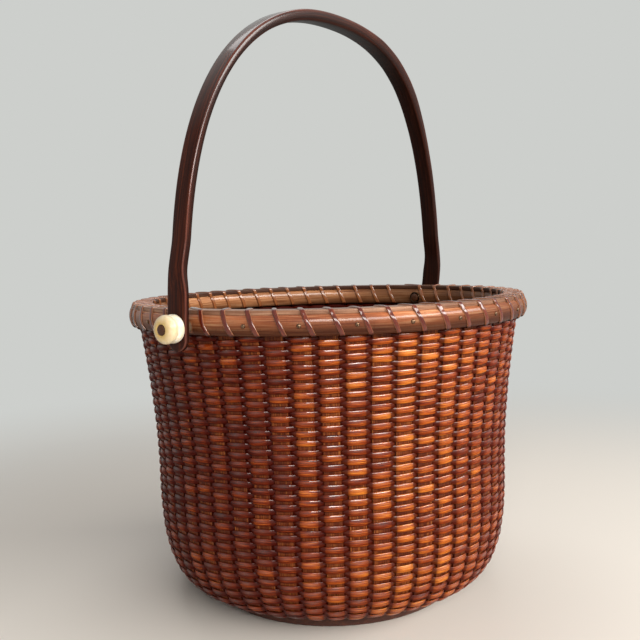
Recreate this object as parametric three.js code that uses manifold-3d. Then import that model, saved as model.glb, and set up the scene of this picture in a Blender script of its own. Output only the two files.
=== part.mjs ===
// A round open basket woven over a mould, with a turned wooden base, a nailed and lashed rim
// and a bent wooden handle that swings on two pins.
// Lengths are in millimetres and angles in degrees. +Z is up, the handle turns about the X direction,
// and the origin is at the middle of the base's underside.

import * as THREE from "three";
import { mergeVertices } from "three/addons/utils/BufferGeometryUtils.js";
import Module from "manifold-3d";

const wasm = await Module();
wasm.setup();

// Fits that every piece shares
const CLEARANCE = 0.3;            // air between two pieces that bear on each other
const DRILL_OVERRUN = 3;          // how far a drill runs past the faces that it cuts
const WELD_DISTANCE = 0.0001;     // corners closer than this are one corner

// Base, turned from one board, with a groove round its edge for the feet of the staves
const BASE_RADIUS = 64.5;
const BASE_THICKNESS = 12.7;
const BASE_BEVEL = 0.8;
const GROOVE_DEPTH = 7;
const GROOVE_HEIGHT = 8.6;        // from the floor to the middle of the groove
const RING_CUT_WIDTH = 1.6;       // turned rings, as cut on both faces
const RING_CUT_DEPTH = 0.7;
const FOOT_RING_RADIUS = 46;
const INSIDE_RING_RADIUS = 40;

// Wall: flat staves, with the weaver passing outside and inside them
const STAVE_COUNT = 53;
const STAVE_THICKNESS = 1.2;
const STAVE_TOP_WIDTH = 6.4;
const STAVE_FOOT_WIDTH = 5.2;
const WEAVE_THICKNESS = 1.0;      // each of the two woven faces
const MOUTH_RADIUS = 97.9;        // middle of the wall at the rim
const MOUTH_FLARE = 6.7;          // how much further out that is than where the lower corner ends
const CORNER_RISE = 62;
const CORNER_FULLNESS = 3.0;      // exponent of the corner's curve, where 2 is an ellipse
const FLARE_POWER = 1.7;          // how late the wall opens out towards the mouth
const FIRST_GAP_TURN = 179.3;     // where the first space between two staves stands, just short of a pin

// Rim: a half-round hoop outside the staves, a flatter one inside, a cap over both, and a cane lashing
const HOOP_BOTTOM = 144.4;
const HOOP_HEIGHT = 9.2;
const OUTER_HOOP_DEPTH = 5.2;
const OUTER_HOOP_FLAT = 3.1;      // flat part of its upper and lower face, before it rounds over
const HOOP_ROUND_STEPS = 4;       // facets over the crest, an even number
const INNER_HOOP_DEPTH = 4.5;
const INNER_HOOP_BEVEL = 1.1;
const CAP_THICKNESS = 1.7;
const CAP_OUTER_SETBACK = 2.4;    // the cap's edges stand in from the hoops' faces
const CAP_INNER_SETBACK = 0.5;
const LASH_WIDTH = 2.0;
const LASH_THICKNESS = 0.6;
const LASH_LEAN = 2.7;            // how far a wrap moves round while it crosses one face of the rim
const LASH_TAIL_SHIFT = 1.3;      // the two ends lie side by side in one space, each this far from its middle
const LASH_START_TURN = 70;       // where the lashing starts and ends

// Nails through the rim, one in every second stave
const NAIL_SHANK_RADIUS = 0.5;
const NAIL_HEAD_RADIUS = 0.9;
const NAIL_HEAD_HEIGHT = 0.5;
const NAIL_END_COVER = 1.2;       // wood left in front of the nail's end in the inner hoop
const NAIL_PIN_GAP = 14;          // no nail stands closer to a pin than this
const NAIL_SIDES = 5;

// Handle: one bent strip, with its ends shaved thinner, left wider and set out to meet the washers
const HANDLE_REACH = 149.2;       // pin to the inner face of the crown
const HANDLE_WIDTH = 8.8;         // in the legs, from where it widens slowly to the crown
const HANDLE_CROWN_WIDTH = 9.8;
const HANDLE_THICKNESS = 3.6;
const HANDLE_EDGE = 0.9;          // rounding of its four edges
const HANDLE_SHOULDER_SHARE = 0.881;  // exponents of the arch's outline, where 1 and 1 are an ellipse
const HANDLE_RISE_SHARE = 0.728;
const HANDLE_ARCH_STEPS = 22;
const HANDLE_LEAN = 2.7;          // where it was left standing
const EAR_WIDTH = 11.6;
const EAR_THICKNESS = 2.6;
const EAR_DROP = 9;               // pin to the rounded end
const EAR_TOP = 14;               // above the pin, where the ear starts to narrow
const EAR_BLEND = 14;             // length over which it turns into the plain strip
const KICK = 1.8;                 // how far the legs bend outwards on their way down to the ears
const KICK_FOOT = 22;             // above the pin, where that bend ends
const KICK_RISE = 18;             // length of that bend
const EAR_ROUND_TURNS = [78, 52, 26, 0];  // facets of the ear's rounded end, from its lowest point

// Pins, with a bone knob and washer outside the handle and a small bone washer under it.
// Each disc has a back towards the basket, a face away from it and a widest place between them.
const PIN_ABOVE_HOOP_FOOT = 3.8;  // from the hoops' lower edge to the middle of the pin
const PIN_RADIUS = 2.3;
const PIN_STAND = 0.4;            // the pin's two ends stand this far out
const PIN_BEVEL = 0.4;
const UNDER_WASHER_THICKNESS = 3.8;
const UNDER_WASHER_RADIUS = 4.2;
const UNDER_WASHER_FACE_RADIUS = 3.8;
const OUTER_WASHER_THICKNESS = 3.9;
const OUTER_WASHER_RADIUS = 6.4;
const OUTER_WASHER_FACE_RADIUS = 5.7;
const KNOB_THICKNESS = 4.5;
const KNOB_RADIUS = 6.4;
const KNOB_BACK_RADIUS = 5.7;
const KNOB_FACE_RADIUS = 3.1;
const KNOB_WIDEST_SHARE = 0.36;   // its widest place, as a share of its thickness from its back
const BURR_THICKNESS = 1.2;
const BURR_RADIUS = 3.8;
const BURR_FACE_RADIUS = 3.2;
const MIDDLE_SHARE = 0.5;         // where all the other discs are widest
const ROUND_SIDES = 16;           // facets round a knob, a washer or a drill
const KNOB_ROUND_STEPS = 6;       // facets over the rounded rim of a disc, an even number
const WASHER_ROUND_STEPS = 4;
const THIN_ROUND_STEPS = 2;

// Sizes that follow from those above
const RIM_TOP = HOOP_BOTTOM + HOOP_HEIGHT;
const PIN_HEIGHT = HOOP_BOTTOM + PIN_ABOVE_HOOP_FOOT;
const BELLY_RADIUS = MOUTH_RADIUS - MOUTH_FLARE;
const OUTER_HOOP_SEAT = MOUTH_RADIUS + STAVE_THICKNESS / 2 + CLEARANCE;
const INNER_HOOP_SEAT = MOUTH_RADIUS - STAVE_THICKNESS / 2 - CLEARANCE;
const RIM_RADIUS = OUTER_HOOP_SEAT + OUTER_HOOP_DEPTH;
const RIM_BORE = INNER_HOOP_SEAT - INNER_HOOP_DEPTH;
const WEAVE_TOP = HOOP_BOTTOM - LASH_THICKNESS - 2 * CLEARANCE;
const CAP_BOTTOM = RIM_TOP + CLEARANCE;
const CAP_TOP = CAP_BOTTOM + CAP_THICKNESS;
const NAIL_HEIGHT = HOOP_BOTTOM + HOOP_HEIGHT / 2;
const EAR_FACE = RIM_RADIUS + UNDER_WASHER_THICKNESS + 2 * CLEARANCE;
const EAR_OUTSIDE = EAR_FACE + EAR_THICKNESS;
const ARCH_HALF_SPAN = EAR_FACE - KICK;
const KNOB_SEAT = EAR_OUTSIDE + OUTER_WASHER_THICKNESS + 2 * CLEARANCE;
const FULL_TURN = 360;
const STAVE_PITCH = FULL_TURN / STAVE_COUNT;
const FACET_SHARE = Math.cos(Math.PI / STAVE_COUNT);  // middle of a facet, as a share of its corners' radius

const radians = THREE.MathUtils.degToRad;
const PIN_TURNS = { left: 180, right: 0 };

// Finishes
function finish(colour, roughness, metalness = 0) {
  return new THREE.MeshStandardMaterial({ color: colour, roughness, metalness });
}

const baseWood = finish(0x3b2116, 0.45);
const staveWood = finish(0xa8683a, 0.55);
const cane = finish(0x8f4d22, 0.4);
const hoopWood = finish(0x7b4029, 0.35);
const capWood = finish(0x86634f, 0.5);
const lashCane = finish(0xa15f38, 0.4);
const handleWood = finish(0x3d2218, 0.4);
const bone = finish(0xf2e7cd, 0.3);
const pinWood = finish(0x4b2b17, 0.45);
const brass = finish(0xb18c45, 0.35, 1);

// Joins the corners that coincide and drops the facets that this leaves with no area
function weld(geometry) {
  geometry.deleteAttribute("normal");
  geometry.deleteAttribute("uv");
  const welded = mergeVertices(geometry, WELD_DISTANCE);
  const corners = welded.index.array;
  const kept = [];
  for (let i = 0; i < corners.length; i += 3) {
    const [a, b, c] = corners.slice(i, i + 3);
    if (a !== b && b !== c && c !== a) {
      kept.push(a, b, c);
    }
  }
  welded.setIndex(kept);
  return welded;
}

function toSolid(geometry) {
  const welded = weld(geometry);
  const mesh = new wasm.Mesh({
    numProp: 3,
    vertProperties: new Float32Array(welded.attributes.position.array),
    triVerts: new Uint32Array(welded.index.array),
  });
  return new wasm.Manifold(mesh);
}

function toGeometry(solid) {
  const mesh = solid.getMesh();
  const geometry = new THREE.BufferGeometry();
  geometry.setAttribute("position", new THREE.BufferAttribute(mesh.vertProperties, 3));
  geometry.setIndex(new THREE.BufferAttribute(mesh.triVerts, 1));
  return geometry;
}

function drilled(geometry, drills) {
  let solid = toSolid(geometry);
  for (const drill of drills) {
    solid = solid.subtract(toSolid(drill));
  }
  return toGeometry(solid);
}

// Revolves an outline of [radius, height] points about Z, with its facets in line with the staves
function revolve(outline, sides = STAVE_COUNT) {
  const points = outline.map(([radius, height]) => new THREE.Vector2(radius, height));
  const start = sides === STAVE_COUNT ? radians(FIRST_GAP_TURN + 90) : 0;
  const geometry = new THREE.LatheGeometry(points, sides, start);
  geometry.rotateX(Math.PI / 2);
  return geometry;
}

function closed(outline) {
  return [...outline, outline[0]];
}

// Skin over rings of points, with the two end rings closed
function loft(rings) {
  const sides = rings[0].length;
  const positions = rings.flat().flatMap((point) => point.toArray());
  const faces = [];
  for (let ring = 0; ring + 1 < rings.length; ring += 1) {
    for (let side = 0; side < sides; side += 1) {
      const next = (side + 1) % sides;
      const low = ring * sides;
      const high = low + sides;
      faces.push(low + side, low + next, high + next, low + side, high + next, high + side);
    }
  }
  const last = (rings.length - 1) * sides;
  for (let side = 1; side + 1 < sides; side += 1) {
    faces.push(0, side + 1, side, last, last + side, last + side + 1);
  }
  const geometry = new THREE.BufferGeometry();
  geometry.setAttribute("position", new THREE.Float32BufferAttribute(positions, 3));
  geometry.setIndex(faces);
  return geometry;
}

// A point at a turn round Z, a distance out, a shift along the rim and a height
function around(turn, out, shift, height) {
  const angle = radians(turn);
  const x = out * Math.cos(angle) - shift * Math.sin(angle);
  const y = out * Math.sin(angle) + shift * Math.cos(angle);
  return new THREE.Vector3(x, y, height);
}

// Turns a shape made along +Z so that it points outwards along a turn round the basket
function pointOut(geometry, turn, out, height) {
  geometry.rotateY(Math.PI / 2);
  geometry.rotateZ(radians(turn));
  const place = around(turn, out, 0, height);
  geometry.translate(place.x, place.y, place.z);
  return geometry;
}

// The wall's middle line, in four stages: 0 to 1 in the groove, to 2 round the lower corner,
// to 3 up the flaring side, and to 4 between the hoops
function wallMiddle(stage) {
  const cornerStart = BASE_RADIUS + CLEARANCE;
  const cornerTop = GROOVE_HEIGHT + CORNER_RISE;
  if (stage < 1) {
    const grooveFloor = BASE_RADIUS - GROOVE_DEPTH + CLEARANCE;
    return new THREE.Vector2(THREE.MathUtils.lerp(grooveFloor, cornerStart, stage), GROOVE_HEIGHT);
  }
  if (stage < 2) {
    const angle = (stage - 1) * Math.PI / 2;
    const out = Math.sin(angle) ** (2 / CORNER_FULLNESS);
    const up = 1 - Math.cos(angle) ** (2 / CORNER_FULLNESS);
    return new THREE.Vector2(
      THREE.MathUtils.lerp(cornerStart, BELLY_RADIUS, out), GROOVE_HEIGHT + CORNER_RISE * up);
  }
  if (stage < 3) {
    const out = (stage - 2) ** FLARE_POWER;
    return new THREE.Vector2(
      THREE.MathUtils.lerp(BELLY_RADIUS, MOUTH_RADIUS, out),
      THREE.MathUtils.lerp(cornerTop, WEAVE_TOP, stage - 2));
  }
  return new THREE.Vector2(MOUTH_RADIUS, THREE.MathUtils.lerp(WEAVE_TOP, RIM_TOP, stage - 3));
}

// The same stations serve the staves and both woven faces, so that their facets lie parallel
const WALL_STAGE_SHARES = [0, 1, 1.16, 1.38, 1.6, 1.86, 2.5, 3, 4];
const WEAVE_FIRST = WALL_STAGE_SHARES.indexOf(1);
const WEAVE_LAST = WALL_STAGE_SHARES.indexOf(3);
const wallLine = WALL_STAGE_SHARES.map(wallMiddle);

// Station of the wall moved squarely off its middle line, outwards where the distance is positive
function wallOffset(index, distance) {
  const before = wallLine[Math.max(index - 1, 0)];
  const here = wallLine[index];
  const after = wallLine[Math.min(index + 1, wallLine.length - 1)];
  const arriving = index === 0 ? after.clone().sub(here) : here.clone().sub(before);
  const leaving = index === wallLine.length - 1 ? arriving.clone() : after.clone().sub(here);
  const first = new THREE.Vector2(arriving.y, -arriving.x).normalize();
  const second = new THREE.Vector2(leaving.y, -leaving.x).normalize();
  const mitre = first.clone().add(second).divideScalar(1 + first.dot(second));
  return here.clone().addScaledVector(mitre, distance);
}

function baseShape() {
  const grooveLow = GROOVE_HEIGHT - STAVE_THICKNESS / 2 - CLEARANCE;
  const grooveHigh = GROOVE_HEIGHT + STAVE_THICKNESS / 2 + CLEARANCE;
  const grooveFloor = BASE_RADIUS - GROOVE_DEPTH;
  return weld(revolve([
    [0, 0],
    [FOOT_RING_RADIUS - RING_CUT_WIDTH / 2, 0],
    [FOOT_RING_RADIUS, RING_CUT_DEPTH],
    [FOOT_RING_RADIUS + RING_CUT_WIDTH / 2, 0],
    [BASE_RADIUS - BASE_BEVEL, 0],
    [BASE_RADIUS, BASE_BEVEL],
    [BASE_RADIUS, grooveLow],
    [grooveFloor, grooveLow],
    [grooveFloor, grooveHigh],
    [BASE_RADIUS, grooveHigh],
    [BASE_RADIUS, BASE_THICKNESS - BASE_BEVEL],
    [BASE_RADIUS - BASE_BEVEL, BASE_THICKNESS],
    [INSIDE_RING_RADIUS + RING_CUT_WIDTH / 2, BASE_THICKNESS],
    [INSIDE_RING_RADIUS, BASE_THICKNESS - RING_CUT_DEPTH],
    [INSIDE_RING_RADIUS - RING_CUT_WIDTH / 2, BASE_THICKNESS],
    [0, BASE_THICKNESS],
  ]));
}

// Staves: their feet fill the groove edge to edge and so form one ring, and each then rises alone,
// widening a little towards the rim
function staveCageShape() {
  const positions = [];
  const faces = [];
  const add = (point) => positions.push(...point.toArray()) / 3 - 1;
  const quad = (a, b, c, d) => faces.push(a, b, c, a, c, d);
  const half = STAVE_THICKNESS / 2;

  const footCorners = [];
  for (let gap = 0; gap < STAVE_COUNT; gap += 1) {
    const turn = FIRST_GAP_TURN + gap * STAVE_PITCH;
    const corner = (index, distance) => {
      const place = wallOffset(index, distance);
      return add(around(turn, place.x, 0, place.y));
    };
    footCorners.push({
      innerLow: corner(0, half), innerHigh: corner(0, -half),
      outerLow: corner(WEAVE_FIRST, half), outerHigh: corner(WEAVE_FIRST, -half),
    });
  }

  for (let stave = 0; stave < STAVE_COUNT; stave += 1) {
    const turn = FIRST_GAP_TURN + (stave + 0.5) * STAVE_PITCH;
    const left = footCorners[stave];
    const right = footCorners[(stave + 1) % STAVE_COUNT];
    const stations = [];
    for (let index = WEAVE_FIRST; index < wallLine.length; index += 1) {
      const rise = wallLine[index].y / RIM_TOP;
      const side = THREE.MathUtils.lerp(STAVE_FOOT_WIDTH, STAVE_TOP_WIDTH, rise) / 2;
      const outside = wallOffset(index, half);
      const inside = wallOffset(index, -half);
      stations.push([
        add(around(turn, outside.x * FACET_SHARE, -side, outside.y)),
        add(around(turn, outside.x * FACET_SHARE, side, outside.y)),
        add(around(turn, inside.x * FACET_SHARE, side, inside.y)),
        add(around(turn, inside.x * FACET_SHARE, -side, inside.y)),
      ]);
    }
    const [outLeft, outRight, inRight, inLeft] = stations[0];
    quad(right.innerLow, left.innerLow, left.innerHigh, right.innerHigh);
    quad(left.outerLow, outLeft, inLeft, left.outerHigh);
    quad(outRight, right.outerLow, right.outerHigh, inRight);
    faces.push(left.innerHigh, left.outerHigh, inLeft, left.innerHigh, inLeft, inRight);
    quad(left.innerHigh, inRight, right.outerHigh, right.innerHigh);
    faces.push(left.innerLow, outLeft, left.outerLow, left.innerLow, outRight, outLeft);
    quad(left.innerLow, right.innerLow, right.outerLow, outRight);
    for (let index = 0; index + 1 < stations.length; index += 1) {
      const low = stations[index];
      const high = stations[index + 1];
      for (let side = 0; side < low.length; side += 1) {
        const next = (side + 1) % low.length;
        quad(low[side], low[next], high[next], high[side]);
      }
    }
    quad(...stations.at(-1));
  }

  const cage = new THREE.BufferGeometry();
  cage.setAttribute("position", new THREE.Float32BufferAttribute(positions, 3));
  cage.setIndex(faces);
  return drilled(cage, [...nailDrills(), ...pinDrills()]);
}

// One woven face: a thin shell just off the staves, from the base to below the hoops
function weaveShape(side) {
  const near = STAVE_THICKNESS / 2 + CLEARANCE;
  const far = near + WEAVE_THICKNESS;
  const outer = [];
  const inner = [];
  for (let index = WEAVE_FIRST; index <= WEAVE_LAST; index += 1) {
    outer.push(wallOffset(index, side > 0 ? far : -near).toArray());
    inner.unshift(wallOffset(index, side > 0 ? near : -far).toArray());
  }
  return weld(revolve(closed([...outer, ...inner])));
}

// Half-round section of the outer hoop, from its lower edge over the crest to its upper edge
function outerHoopRound() {
  const steps = HOOP_ROUND_STEPS;
  const middle = HOOP_BOTTOM + HOOP_HEIGHT / 2;
  const points = [];
  for (let step = 0; step <= steps; step += 1) {
    const angle = Math.PI * (step / steps - 0.5);
    const out = OUTER_HOOP_FLAT + (OUTER_HOOP_DEPTH - OUTER_HOOP_FLAT) * Math.cos(angle);
    points.push([OUTER_HOOP_SEAT + out, middle + HOOP_HEIGHT / 2 * Math.sin(angle)]);
  }
  return points;
}

function outerHoopShape() {
  const outline = [[OUTER_HOOP_SEAT, HOOP_BOTTOM], ...outerHoopRound(), [OUTER_HOOP_SEAT, RIM_TOP]];
  return drilled(revolve(closed(outline)), [...nailDrills(), ...pinDrills()]);
}

function innerHoopShape() {
  return drilled(revolve(closed([
    [INNER_HOOP_SEAT, HOOP_BOTTOM],
    [INNER_HOOP_SEAT, RIM_TOP],
    [RIM_BORE + INNER_HOOP_BEVEL, RIM_TOP],
    [RIM_BORE, RIM_TOP - INNER_HOOP_BEVEL],
    [RIM_BORE, HOOP_BOTTOM + INNER_HOOP_BEVEL],
    [RIM_BORE + INNER_HOOP_BEVEL, HOOP_BOTTOM],
  ])), [...nailDrills(), ...pinDrills()]);
}

function capShape() {
  const inner = RIM_BORE + CAP_INNER_SETBACK;
  const outer = RIM_RADIUS - CAP_OUTER_SETBACK;
  return weld(revolve(closed([
    [inner, CAP_BOTTOM],
    [outer, CAP_BOTTOM],
    [outer, CAP_TOP],
    [inner, CAP_TOP],
  ])));
}

// Shortest way round between two turns
function turnBetween(a, b) {
  const half = FULL_TURN / 2;
  return Math.abs(THREE.MathUtils.euclideanModulo(a - b + half, FULL_TURN) - half);
}

function lengthFromPin(turn, radius) {
  const nearest = Math.min(...Object.values(PIN_TURNS).map((pin) => turnBetween(turn, pin)));
  return radius * radians(nearest);
}

// A wrap leans, so it passes a pin at another turn outside than inside. It keeps clear of the washer
// on the outer face and of the burr on the inner one.
function wrapClearsPin(turn) {
  const lean = LASH_LEAN * (PIN_HEIGHT - HOOP_BOTTOM) / (CAP_TOP - HOOP_BOTTOM);
  const room = LASH_WIDTH / 2 + CLEARANCE;
  return lengthFromPin(turn - lean, RIM_RADIUS) > UNDER_WASHER_RADIUS + room
    && lengthFromPin(turn + lean, RIM_BORE) > BURR_RADIUS + room;
}

// Spaces between staves that the lashing passes through, in the order that it meets them
function lashTurns() {
  const turns = [];
  for (let gap = 0; gap < STAVE_COUNT; gap += 1) {
    const turn = FIRST_GAP_TURN + gap * STAVE_PITCH;
    if (wrapClearsPin(turn)) {
      turns.push(THREE.MathUtils.euclideanModulo(turn - LASH_START_TURN, FULL_TURN) + LASH_START_TURN);
    }
  }
  return turns.sort((a, b) => b - a);
}

// The outline that a wrap lies on, anticlockwise from the space between the hoops. One facet above
// the outer hoop's crest it leaves the hoop and goes straight to the cap's edge.
function rimHull() {
  const pastCrest = outerHoopRound().slice(0, HOOP_ROUND_STEPS / 2 + 2);
  return [
    [MOUTH_RADIUS, HOOP_BOTTOM],
    ...pastCrest,
    [RIM_RADIUS - CAP_OUTER_SETBACK, CAP_TOP],
    [RIM_BORE * FACET_SHARE, CAP_TOP],
    [RIM_BORE * FACET_SHARE, HOOP_BOTTOM],
  ].map(([radius, height]) => new THREE.Vector2(radius, height));
}

function hullOffset(hull, index, distance) {
  const here = hull[index];
  const arriving = here.clone().sub(hull.at(index - 1));
  const leaving = hull[(index + 1) % hull.length].clone().sub(here);
  const first = new THREE.Vector2(arriving.y, -arriving.x).normalize();
  const second = new THREE.Vector2(leaving.y, -leaving.x).normalize();
  const mitre = first.clone().add(second).divideScalar(1 + first.dot(second));
  return here.clone().addScaledVector(mitre, distance);
}

// The lashing: one flat strip of cane, wound up the outer face, over the cap and down the inner face
function lashingShape() {
  const hull = rimHull();
  const under = hull.map((_, index) => hullOffset(hull, index, CLEARANCE));
  const over = hull.map((_, index) => hullOffset(hull, index, CLEARANCE + LASH_THICKNESS));
  const capInside = hull.length - 2;
  const rings = [];
  const section = (turn, index, shift) => {
    const low = shift - LASH_WIDTH / 2;
    const high = shift + LASH_WIDTH / 2;
    rings.push([
      around(turn, under[index].x, low, under[index].y),
      around(turn, over[index].x, low, over[index].y),
      around(turn, over[index].x, high, over[index].y),
      around(turn, under[index].x, high, under[index].y),
    ]);
  };
  const turns = lashTurns();
  const lastTurn = turns[0] - FULL_TURN;
  for (const [wrap, turn] of turns.entries()) {
    const nextTurn = turns[wrap + 1] ?? lastTurn;
    const startShift = wrap === 0 ? LASH_TAIL_SHIFT : 0;
    for (let index = 0; index < hull.length; index += 1) {
      const climbed = (hull[index].y - HOOP_BOTTOM) / (CAP_TOP - HOOP_BOTTOM);
      const inside = index >= capInside;
      const lean = LASH_LEAN * climbed;
      const bend = wrap === turns.length - 1 && inside ? -LASH_TAIL_SHIFT : 0;
      section(inside ? nextTurn + lean : turn - lean, index, inside ? bend : startShift);
    }
  }
  section(lastTurn, 0, -LASH_TAIL_SHIFT);
  return { geometry: weld(loft(rings)), rings };
}

// Least gap between one wrap and the next, measured between their near edges
function leastLashGap(rings) {
  const perWrap = rimHull().length;
  let least = Infinity;
  for (let index = 0; index + perWrap < rings.length; index += 1) {
    const here = rings[index];
    const next = rings[index + perWrap];
    least = Math.min(least, here[0].distanceTo(next[3]), here[1].distanceTo(next[2]));
  }
  return least;
}

// Staves that carry a nail: every second one, apart from those beside a pin
function nailTurns() {
  const turns = [];
  for (let stave = 0; stave < STAVE_COUNT; stave += 2) {
    const turn = FIRST_GAP_TURN + (stave + 0.5) * STAVE_PITCH;
    if (lengthFromPin(turn, RIM_RADIUS) > NAIL_PIN_GAP) {
      turns.push(turn);
    }
  }
  return turns;
}

const NAIL_END = RIM_BORE * FACET_SHARE + NAIL_END_COVER;

function nailDrills() {
  return nailTurns().map((turn) => {
    const radius = NAIL_SHANK_RADIUS + CLEARANCE;
    const start = NAIL_END - CLEARANCE;
    const length = RIM_RADIUS + DRILL_OVERRUN - start;
    const drill = new THREE.CylinderGeometry(radius, radius, length, NAIL_SIDES);
    drill.rotateX(Math.PI / 2);
    return pointOut(drill, turn, start + length / 2, NAIL_HEIGHT);
  });
}

// A domed brass nail, made along +Z with its head's underside at zero
function nailShape(turn) {
  const seat = RIM_RADIUS + CLEARANCE;
  const shank = seat - NAIL_END;
  const nail = revolve([
    [0, -shank],
    [NAIL_SHANK_RADIUS, -shank],
    [NAIL_SHANK_RADIUS, 0],
    [NAIL_HEAD_RADIUS, 0],
    [0, NAIL_HEAD_HEIGHT],
  ], NAIL_SIDES);
  return weld(pointOut(nail, turn, seat, NAIL_HEIGHT));
}

function pinDrills() {
  return Object.values(PIN_TURNS).map((turn) => {
    const radius = PIN_RADIUS + CLEARANCE;
    const start = RIM_BORE - DRILL_OVERRUN;
    const length = RIM_RADIUS + DRILL_OVERRUN - start;
    const drill = new THREE.CylinderGeometry(radius, radius, length, ROUND_SIDES);
    drill.rotateX(Math.PI / 2);
    return pointOut(drill, turn, start + length / 2, PIN_HEIGHT);
  });
}

// How far the kick has brought a leg outwards at a height above the pins
function kickOut(height) {
  return KICK * (1 - THREE.MathUtils.smoothstep(height, KICK_FOOT, KICK_FOOT + KICK_RISE));
}

// Inner face of the handle's arch at a height above the pins, for one leg
function archHalfSpan(height) {
  const rise = Math.max(height, 0) / HANDLE_REACH;
  const sine = rise ** (1 / HANDLE_RISE_SHARE);
  return ARCH_HALF_SPAN * (1 - sine * sine) ** (HANDLE_SHOULDER_SHARE / 2) + kickOut(height);
}

// Width and thickness of the strip at a height above the pins
function stripSize(height) {
  const blend = THREE.MathUtils.smoothstep(height, EAR_TOP, EAR_TOP + EAR_BLEND);
  const plainWidth = THREE.MathUtils.lerp(HANDLE_WIDTH, HANDLE_CROWN_WIDTH, Math.max(height, 0) / HANDLE_REACH);
  const endRadius = EAR_WIDTH / 2;
  const belowCentre = Math.max(0, endRadius - EAR_DROP - height);
  const roundEnd = Math.sqrt(Math.max(0, endRadius * endRadius - belowCentre * belowCentre));
  return {
    width: Math.min(THREE.MathUtils.lerp(EAR_WIDTH, plainWidth, blend), 2 * roundEnd),
    thickness: THREE.MathUtils.lerp(EAR_THICKNESS, HANDLE_THICKNESS, blend),
  };
}

// The strip's inner face as points in the handle's own plane, from one end to the other
function handleLine() {
  const endRadius = EAR_WIDTH / 2;
  const leg = [];
  for (const angle of EAR_ROUND_TURNS) {
    leg.push(endRadius - EAR_DROP - endRadius * Math.sin(radians(angle)));
  }
  const kickTop = KICK_FOOT + KICK_RISE;
  leg.push(
    EAR_TOP, EAR_TOP + EAR_BLEND / 3, KICK_FOOT, EAR_TOP + EAR_BLEND,
    THREE.MathUtils.lerp(EAR_TOP + EAR_BLEND, kickTop, 1 / 2), kickTop);
  const left = leg.map((height) => new THREE.Vector2(-archHalfSpan(height), height));
  const right = leg.map((height) => new THREE.Vector2(archHalfSpan(height), height)).reverse();
  const start = Math.asin((kickTop / HANDLE_REACH) ** (1 / HANDLE_RISE_SHARE));
  const arch = [];
  for (let step = 1; step < HANDLE_ARCH_STEPS; step += 1) {
    const angle = THREE.MathUtils.lerp(start, Math.PI - start, step / HANDLE_ARCH_STEPS);
    const across = Math.cos(angle);
    arch.push(new THREE.Vector2(
      -Math.sign(across) * ARCH_HALF_SPAN * Math.abs(across) ** HANDLE_SHOULDER_SHARE,
      HANDLE_REACH * Math.sin(angle) ** HANDLE_RISE_SHARE));
  }
  return [...left, ...arch, ...right];
}

function handleShape() {
  const line = handleLine();
  const rings = line.map((here, index) => {
    const before = line[Math.max(index - 1, 0)];
    const after = line[Math.min(index + 1, line.length - 1)];
    const along = after.clone().sub(before).normalize();
    const outward = new THREE.Vector2(-along.y, along.x);
    const { width, thickness } = stripSize(here.y);
    const edge = Math.min(HANDLE_EDGE, width / 3, thickness / 3);
    const half = width / 2;
    const section = [
      [edge, -half], [0, edge - half], [0, half - edge], [edge, half],
      [thickness - edge, half], [thickness, half - edge], [thickness, edge - half], [thickness - edge, -half],
    ];
    return section.map(([out, side]) => {
      const place = here.clone().addScaledVector(outward, out);
      return new THREE.Vector3(place.x, side, place.y);
    });
  });
  const drills = [-1, 1].map((side) => {
    const radius = PIN_RADIUS + CLEARANCE;
    const length = EAR_THICKNESS + 2 * DRILL_OVERRUN;
    const drill = new THREE.CylinderGeometry(radius, radius, length, ROUND_SIDES);
    drill.rotateZ(Math.PI / 2);
    drill.translate(side * (EAR_FACE + EAR_THICKNESS / 2), 0, 0);
    return drill;
  });
  return drilled(loft(rings), drills);
}

// Pin from the burr inside the rim to the knob's face
function pinShape(turn) {
  const start = RIM_BORE * FACET_SHARE - 2 * CLEARANCE - BURR_THICKNESS - PIN_STAND;
  const length = KNOB_SEAT + KNOB_THICKNESS + PIN_STAND - start;
  return weld(pointOut(revolve([
    [0, 0],
    [PIN_RADIUS - PIN_BEVEL, 0],
    [PIN_RADIUS, PIN_BEVEL],
    [PIN_RADIUS, length - PIN_BEVEL],
    [PIN_RADIUS - PIN_BEVEL, length],
    [0, length],
  ], ROUND_SIDES), turn, start, PIN_HEIGHT));
}

// A disc with a hole for the pin and a rounded rim: knobs, washers and burrs
function discShape(turn, seat, { thickness, radius, back, face, widest, steps }) {
  const bore = PIN_RADIUS + CLEARANCE;
  const outline = [[bore, 0]];
  for (let step = 0; step <= steps; step += 1) {
    const angle = Math.PI * (step / steps - 0.5);
    const end = angle < 0 ? back : face;
    const room = angle < 0 ? widest : 1 - widest;
    const out = end + (radius - end) * Math.cos(angle);
    outline.push([out, thickness * (widest + room * Math.sin(angle))]);
  }
  outline.push([bore, thickness]);
  return weld(pointOut(revolve(closed(outline), ROUND_SIDES), turn, seat, PIN_HEIGHT));
}

const underWasher = {
  thickness: UNDER_WASHER_THICKNESS, radius: UNDER_WASHER_RADIUS, back: UNDER_WASHER_FACE_RADIUS,
  face: UNDER_WASHER_FACE_RADIUS, widest: MIDDLE_SHARE, steps: THIN_ROUND_STEPS,
};
const outerWasher = {
  thickness: OUTER_WASHER_THICKNESS, radius: OUTER_WASHER_RADIUS, back: OUTER_WASHER_FACE_RADIUS,
  face: OUTER_WASHER_FACE_RADIUS, widest: MIDDLE_SHARE, steps: WASHER_ROUND_STEPS,
};
const knob = {
  thickness: KNOB_THICKNESS, radius: KNOB_RADIUS, back: KNOB_BACK_RADIUS,
  face: KNOB_FACE_RADIUS, widest: KNOB_WIDEST_SHARE, steps: KNOB_ROUND_STEPS,
};
const burr = {
  thickness: BURR_THICKNESS, radius: BURR_RADIUS, back: BURR_FACE_RADIUS,
  face: BURR_FACE_RADIUS, widest: MIDDLE_SHARE, steps: THIN_ROUND_STEPS,
};

const basket = new THREE.Group();

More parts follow.
